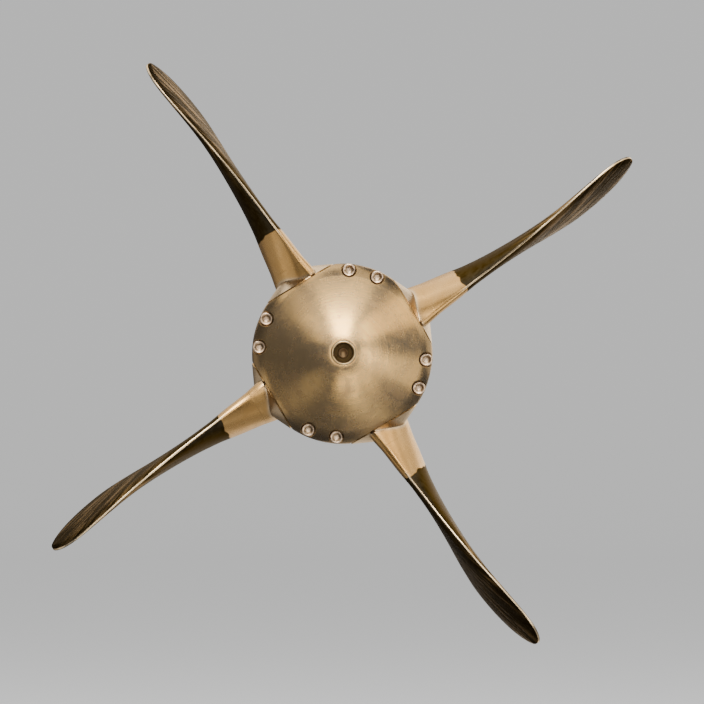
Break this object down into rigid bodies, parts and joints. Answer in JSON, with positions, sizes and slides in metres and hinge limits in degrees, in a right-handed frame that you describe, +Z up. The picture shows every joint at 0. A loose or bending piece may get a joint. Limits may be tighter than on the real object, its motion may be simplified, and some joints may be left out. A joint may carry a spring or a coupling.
{
  "type": "feathering ship propeller",
  "caption": "Feathering ship propeller with bronze blades that turn about their own radial axes in a two-part domed hub on a bolted flange.",
  "frame": {"origin": "centre of the shaft flange's flat rear face, on the shaft axis", "axes": "+Y out of the flange's rear face along the shaft axis, away from the nose; +Z up as in the picture"},
  "size_m": [0.5776, 0.1658, 0.5776],
  "materials": {
    "hub_bronze": "turned and tarnished bronze",
    "blade_bronze": "brown tarnished bronze, polished at the roots",
    "bright_bronze": "polished bronze",
    "screw_steel": "stainless steel",
    "seal_rubber": "matt black"
  },
  "bodies": {
    "hub": {"nose_half": "hub_bronze", "shaft_half": "hub_bronze", "shaft_flange": "hub_bronze", "nose_bush": "bright_bronze", "nose_screw": "screw_steel", "palm_seal_1": "seal_rubber", "palm_seal_2": "seal_rubber", "palm_seal_3": "seal_rubber", "palm_seal_4": "seal_rubber", "cap_screw_1": "screw_steel", "cap_screw_2": "screw_steel", "cap_screw_3": "screw_steel", "cap_screw_4": "screw_steel", "cap_screw_5": "screw_steel", "cap_screw_6": "screw_steel", "cap_screw_7": "screw_steel", "cap_screw_8": "screw_steel", "flange_screw_1": "screw_steel", "flange_screw_2": "screw_steel", "flange_screw_3": "screw_steel", "flange_screw_4": "screw_steel", "flange_screw_5": "screw_steel", "flange_screw_6": "screw_steel"},
    "first_blade": {"blade_1": "blade_bronze"},
    "second_blade": {"blade_2": "blade_bronze"},
    "third_blade": {"blade_3": "blade_bronze"},
    "fourth_blade": {"blade_4": "blade_bronze"}
  },
  "joints": [
    {"name": "pitch_1", "type": "hinge", "parent": "hub", "child": "first_blade", "pos_m": [0, -0.085, 0], "axis": [0.8599, 0, 0.5105], "range_deg": [-110, 0]},
    {"name": "pitch_2", "type": "hinge", "parent": "hub", "child": "second_blade", "pos_m": [0, -0.085, 0], "axis": [-0.5105, 0, 0.8599], "range_deg": [-110, 0]},
    {"name": "pitch_3", "type": "hinge", "parent": "hub", "child": "third_blade", "pos_m": [0, -0.085, 0], "axis": [-0.8599, 0, -0.5105], "range_deg": [-110, 0]},
    {"name": "pitch_4", "type": "hinge", "parent": "hub", "child": "fourth_blade", "pos_m": [0, -0.085, 0], "axis": [0.5105, 0, -0.8599], "range_deg": [-110, 0]}
  ],
  "couplings": [
    {"joint": "pitch_2", "follows": "pitch_1", "ratio": 1},
    {"joint": "pitch_3", "follows": "pitch_1", "ratio": 1},
    {"joint": "pitch_4", "follows": "pitch_1", "ratio": 1}
  ]
}
